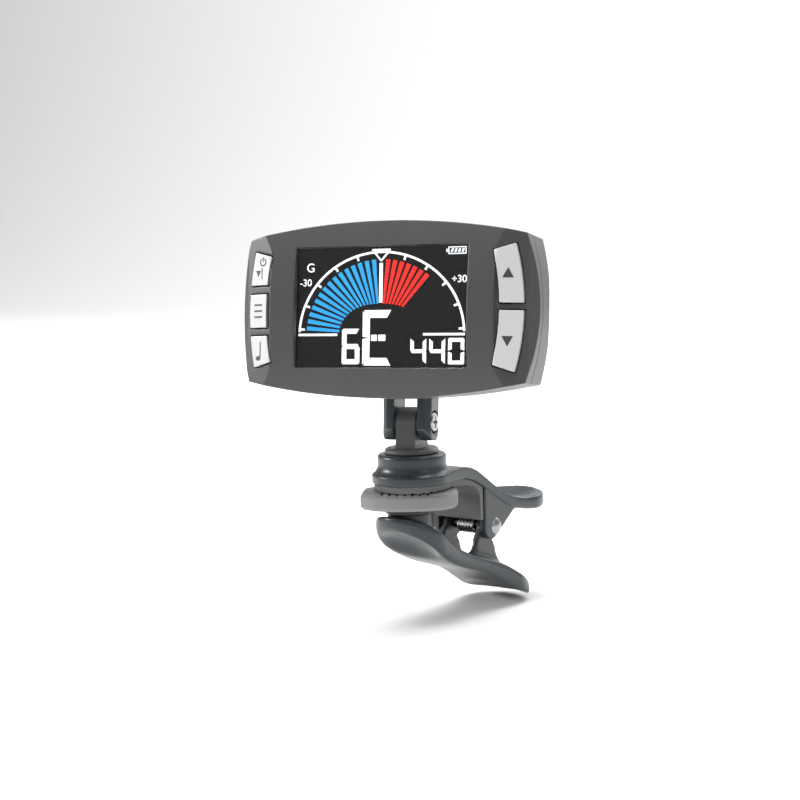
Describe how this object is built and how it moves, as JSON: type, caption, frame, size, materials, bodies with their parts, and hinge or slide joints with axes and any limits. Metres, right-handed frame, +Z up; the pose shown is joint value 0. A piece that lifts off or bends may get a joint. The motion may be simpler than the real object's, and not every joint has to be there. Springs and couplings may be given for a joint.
{
  "type": "clip-on tuner",
  "caption": "Clip-on instrument tuner: wide display head on a tilting yoke and swivel post, carried by a sprung clip with ribbed rubber pads.",
  "frame": {"origin": "where the swivel axis meets the gripping face of the upper pad", "axes": "+Z up the swivel axis; the display looks along -Y at rest; +X to the display's right as seen from the front"},
  "size_m": [0.0728, 0.067, 0.0974],
  "materials": {
    "arm_plastic": "fine satin",
    "pad_rubber": "matte",
    "dark_plastic": "matte",
    "steel": "satin",
    "post_plastic": "satin",
    "housing_plastic": "fine texture",
    "window": "polished",
    "lcd": "gloss",
    "white_plastic": "matte",
    "board": "solder mask",
    "cell_foil": "foil",
    "lead_red": "matte",
    "brass": "satin",
    "key_plastic": "satin"
  },
  "bodies": {
    "upper_jaw": {"upper_arm": "arm_plastic", "upper_pad": "pad_rubber", "hinge_pin": "steel", "torsion_spring": "steel"},
    "lower_jaw": {"lower_arm": "arm_plastic"},
    "turning_pad": {"lower_pad": "pad_rubber", "pad_hub": "dark_plastic"},
    "swivel": {"swivel_post": "post_plastic", "swivel_washer": "steel", "swivel_screw": "steel"},
    "head": {"tilt_yoke": "arm_plastic", "tilt_screw": "steel", "tilt_nut": "steel", "friction_washers": "dark_plastic", "yoke_screws": "steel", "front_bezel": "housing_plastic", "rear_cover": "housing_plastic", "display_window": "window", "lcd_panel": "lcd", "backlight_unit": "white_plastic", "circuit_board": "board", "board_chips": "dark_plastic", "tact_switches": "dark_plastic", "lithium_cell": "cell_foil", "battery_leads": "lead_red", "usb_socket": "steel", "piezo_sensor": "brass", "case_screws": "steel"},
    "power_button_key": {"power_button": "key_plastic"},
    "menu_button_key": {"menu_button": "key_plastic"},
    "tone_button_key": {"tone_button": "key_plastic"},
    "up_button_key": {"up_button": "key_plastic"},
    "down_button_key": {"down_button": "key_plastic"}
  },
  "joints": [
    {"name": "jaw_hinge", "type": "hinge", "parent": "upper_jaw", "child": "lower_jaw", "pos_m": [0.00673, 0.022, -0.0123], "axis": [0.9563, -0.2924, 0], "range_deg": [0, 48], "stiffness_Nm_per_rad": 0.3, "springref_deg": -40.11, "deforming": ["torsion_spring"]},
    {"name": "pad_turn", "type": "hinge", "parent": "lower_jaw", "child": "turning_pad", "pos_m": [-0.00038, -0.00124, -0.00415], "axis": [0, 0, 1], "continuous": true},
    {"name": "swivel_turn", "type": "hinge", "parent": "upper_jaw", "child": "swivel", "pos_m": [0, 0, 0.0087], "axis": [0, 0, 1], "continuous": true},
    {"name": "head_tilt", "type": "hinge", "parent": "swivel", "child": "head", "pos_m": [0, 0, 0.01605], "axis": [-1, 0, 0], "range_deg": [-65, 85]},
    {"name": "power_button_press", "type": "slide", "parent": "head", "child": "power_button_key", "axis": [0, 0.9919, -0.1271], "range_m": [0, 0.0005], "stiffness_N_per_m": 500, "springref_m": -0.001},
    {"name": "menu_button_press", "type": "slide", "parent": "head", "child": "menu_button_key", "axis": [0, 0.9919, -0.1271], "range_m": [0, 0.0005], "stiffness_N_per_m": 500, "springref_m": -0.001},
    {"name": "tone_button_press", "type": "slide", "parent": "head", "child": "tone_button_key", "axis": [0, 0.9919, -0.1271], "range_m": [0, 0.0005], "stiffness_N_per_m": 500, "springref_m": -0.001},
    {"name": "up_button_press", "type": "slide", "parent": "head", "child": "up_button_key", "axis": [0, 0.9919, -0.1271], "range_m": [0, 0.0005], "stiffness_N_per_m": 500, "springref_m": -0.001},
    {"name": "down_button_press", "type": "slide", "parent": "head", "child": "down_button_key", "axis": [0, 0.9919, -0.1271], "range_m": [0, 0.0005], "stiffness_N_per_m": 500, "springref_m": -0.001}
  ]
}
